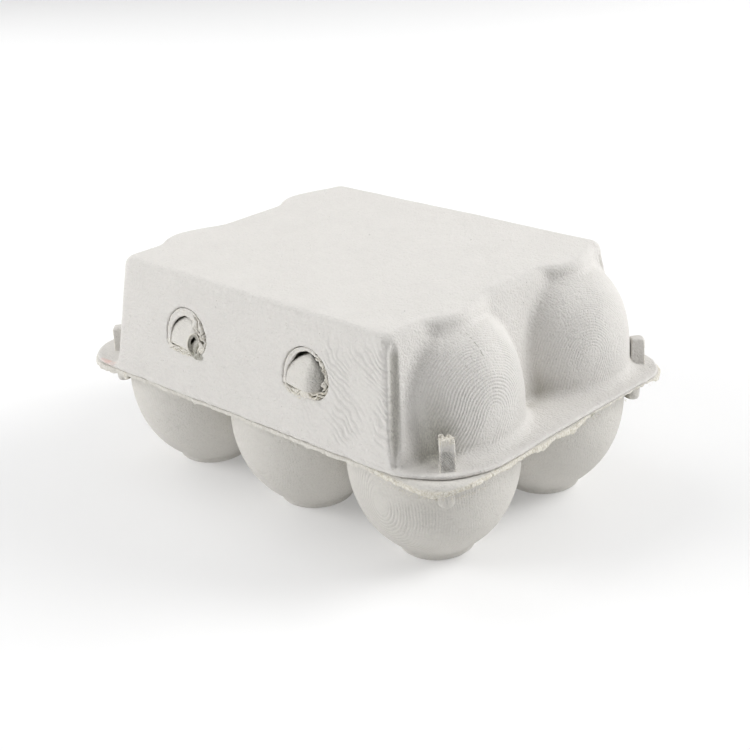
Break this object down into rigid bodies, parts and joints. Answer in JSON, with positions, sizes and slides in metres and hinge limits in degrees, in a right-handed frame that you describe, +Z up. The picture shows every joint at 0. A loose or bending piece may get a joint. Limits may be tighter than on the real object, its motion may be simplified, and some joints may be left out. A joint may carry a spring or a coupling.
{
  "type": "goose egg carton",
  "caption": "Shut moulded-pulp goose egg carton: rounded egg bowls under a flange, and a sloping lid with domed ends, corner posts and locking tongues in arched holes.",
  "frame": {"origin": "on the ground, under the middle of the carton's bounding box", "axes": "+X along the rows of three bowls, +Y from the latches' side to the back, +Z up"},
  "size_m": [0.231, 0.1536, 0.1063],
  "materials": {
    "lid_pulp": "matt moulded pulp, pale warm grey",
    "tray_pulp": "matt moulded pulp, pale warm grey"
  },
  "bodies": {
    "root": {"lid": "lid_pulp", "tray": "tray_pulp"}
  },
  "joints": []
}
